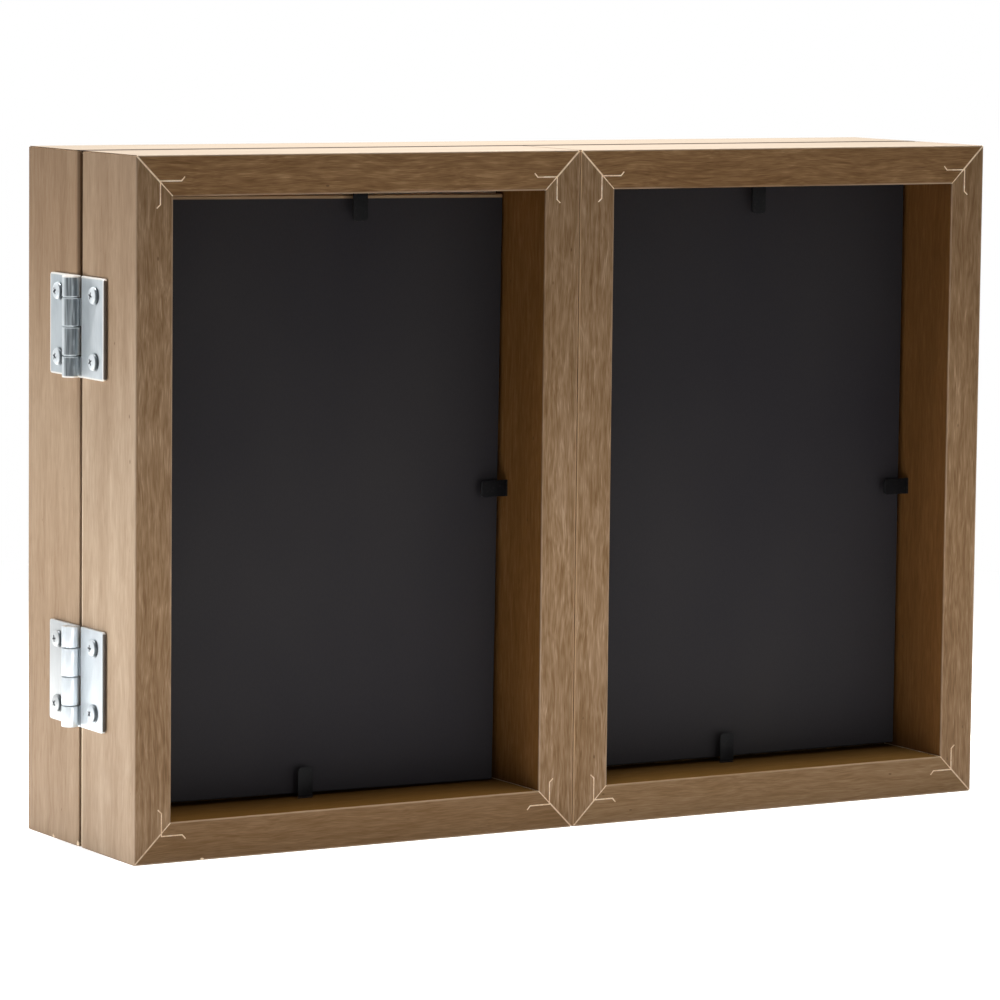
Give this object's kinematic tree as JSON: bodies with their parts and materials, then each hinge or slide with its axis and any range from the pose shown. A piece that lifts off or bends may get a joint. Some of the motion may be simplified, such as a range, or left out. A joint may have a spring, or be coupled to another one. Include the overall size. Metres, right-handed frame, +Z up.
{
  "type": "trifold photo frame",
  "caption": "Trifold wooden photo frame: a wide centre panel with two hinged half-width doors, each holding a picture behind glass with a backing board and bend-over clips.",
  "frame": {"origin": "middle of the base of the folded frame, on the surface that it stands on", "axes": "+Z up, +X along the width towards the right door, -Y the side of the doors' backs and +Y the back of the centre panel"},
  "size_m": [0.259, 0.06, 0.1725],
  "materials": {
    "wood": "stained softwood, satin, open grain",
    "glass": "clear picture glass",
    "black_board": "thin hardboard faced in matt black",
    "black_steel": "thin black-painted steel strip",
    "zinc_steel": "bright zinc-plated steel"
  },
  "bodies": {
    "centre_panel": {"centre_top_rail": "wood", "centre_bottom_rail": "wood", "centre_left_stile": "wood", "centre_right_stile": "wood", "centre_pane": "glass", "centre_backing_board": "black_board", "left_upper_hinge_frame_leaf": "zinc_steel", "left_upper_hinge_pin": "zinc_steel", "left_upper_hinge_frame_upper_screw": "zinc_steel", "left_upper_hinge_frame_lower_screw": "zinc_steel", "left_lower_hinge_frame_leaf": "zinc_steel", "left_lower_hinge_pin": "zinc_steel", "left_lower_hinge_frame_upper_screw": "zinc_steel", "left_lower_hinge_frame_lower_screw": "zinc_steel", "right_upper_hinge_frame_leaf": "zinc_steel", "right_upper_hinge_pin": "zinc_steel", "right_upper_hinge_frame_upper_screw": "zinc_steel", "right_upper_hinge_frame_lower_screw": "zinc_steel", "right_lower_hinge_frame_leaf": "zinc_steel", "right_lower_hinge_pin": "zinc_steel", "right_lower_hinge_frame_upper_screw": "zinc_steel", "right_lower_hinge_frame_lower_screw": "zinc_steel"},
    "left_door": {"left_door_top_rail": "wood", "left_door_bottom_rail": "wood", "left_door_left_stile": "wood", "left_door_right_stile": "wood", "left_door_pane": "glass", "left_door_backing_board": "black_board", "left_upper_hinge_door_leaf": "zinc_steel", "left_upper_hinge_door_upper_screw": "zinc_steel", "left_upper_hinge_door_lower_screw": "zinc_steel", "left_lower_hinge_door_leaf": "zinc_steel", "left_lower_hinge_door_upper_screw": "zinc_steel", "left_lower_hinge_door_lower_screw": "zinc_steel"},
    "right_door": {"right_door_top_rail": "wood", "right_door_bottom_rail": "wood", "right_door_left_stile": "wood", "right_door_right_stile": "wood", "right_door_pane": "glass", "right_door_backing_board": "black_board", "right_upper_hinge_door_leaf": "zinc_steel", "right_upper_hinge_door_upper_screw": "zinc_steel", "right_upper_hinge_door_lower_screw": "zinc_steel", "right_lower_hinge_door_leaf": "zinc_steel", "right_lower_hinge_door_upper_screw": "zinc_steel", "right_lower_hinge_door_lower_screw": "zinc_steel"},
    "centre_top_tab": {"centre_top_clip": "black_steel"},
    "centre_bottom_tab": {"centre_bottom_clip": "black_steel"},
    "centre_left_tab": {"centre_left_clip": "black_steel"},
    "centre_right_tab": {"centre_right_clip": "black_steel"},
    "left_door_top_tab": {"left_door_top_clip": "black_steel"},
    "left_door_bottom_tab": {"left_door_bottom_clip": "black_steel"},
    "left_door_left_tab": {"left_door_left_clip": "black_steel"},
    "left_door_right_tab": {"left_door_right_clip": "black_steel"},
    "right_door_top_tab": {"right_door_top_clip": "black_steel"},
    "right_door_bottom_tab": {"right_door_bottom_clip": "black_steel"},
    "right_door_left_tab": {"right_door_left_clip": "black_steel"},
    "right_door_right_tab": {"right_door_right_clip": "black_steel"}
  },
  "joints": [
    {"name": "left_door_hinge", "type": "hinge", "parent": "centre_panel", "child": "left_door", "pos_m": [-0.12725, 0, 0.08625], "axis": [0, 0, -1], "range_deg": [0, 180]},
    {"name": "right_door_hinge", "type": "hinge", "parent": "centre_panel", "child": "right_door", "pos_m": [0.12725, 0, 0.08625], "axis": [0, 0, 1], "range_deg": [0, 180]},
    {"name": "centre_top_clip_bend", "type": "hinge", "parent": "centre_panel", "child": "centre_top_tab", "pos_m": [0.00459, 0.0127, 0.16195], "axis": [1, 0, 0], "range_deg": [0, 90]},
    {"name": "centre_bottom_clip_bend", "type": "hinge", "parent": "centre_panel", "child": "centre_bottom_tab", "pos_m": [-0.00344, 0.0127, 0.01055], "axis": [-1, 0, 0], "range_deg": [0, 90]},
    {"name": "centre_left_clip_bend", "type": "hinge", "parent": "centre_panel", "child": "centre_left_tab", "pos_m": [-0.1141, 0.0127, 0.08625], "axis": [0, 0, 1], "range_deg": [0, 90]},
    {"name": "centre_right_clip_bend", "type": "hinge", "parent": "centre_panel", "child": "centre_right_tab", "pos_m": [0.1141, 0.0127, 0.08778], "axis": [0, 0, -1], "range_deg": [0, 90]},
    {"name": "left_door_top_clip_bend", "type": "hinge", "parent": "left_door", "child": "left_door_top_tab", "pos_m": [-0.05362, -0.0127, 0.16195], "axis": [-1, 0, 0], "range_deg": [0, 90]},
    {"name": "left_door_bottom_clip_bend", "type": "hinge", "parent": "left_door", "child": "left_door_bottom_tab", "pos_m": [-0.06815, -0.0127, 0.01055], "axis": [1, 0, 0], "range_deg": [0, 90]},
    {"name": "left_door_left_clip_bend", "type": "hinge", "parent": "left_door", "child": "left_door_left_tab", "pos_m": [-0.1141, -0.0127, 0.08808], "axis": [0, 0, -1], "range_deg": [0, 90]},
    {"name": "left_door_right_clip_bend", "type": "hinge", "parent": "left_door", "child": "left_door_right_tab", "pos_m": [-0.0107, -0.0127, 0.08579], "axis": [0, 0, 1], "range_deg": [0, 90]},
    {"name": "right_door_top_clip_bend", "type": "hinge", "parent": "right_door", "child": "right_door_top_tab", "pos_m": [0.06533, -0.0127, 0.16195], "axis": [-1, 0, 0], "range_deg": [0, 90]},
    {"name": "right_door_bottom_clip_bend", "type": "hinge", "parent": "right_door", "child": "right_door_bottom_tab", "pos_m": [0.05801, -0.0127, 0.01055], "axis": [1, 0, 0], "range_deg": [0, 90]},
    {"name": "right_door_left_clip_bend", "type": "hinge", "parent": "right_door", "child": "right_door_left_tab", "pos_m": [0.0107, -0.0127, 0.08472], "axis": [0, 0, -1], "range_deg": [0, 90]},
    {"name": "right_door_right_clip_bend", "type": "hinge", "parent": "right_door", "child": "right_door_right_tab", "pos_m": [0.1141, -0.0127, 0.08091], "axis": [0, 0, 1], "range_deg": [0, 90]}
  ]
}
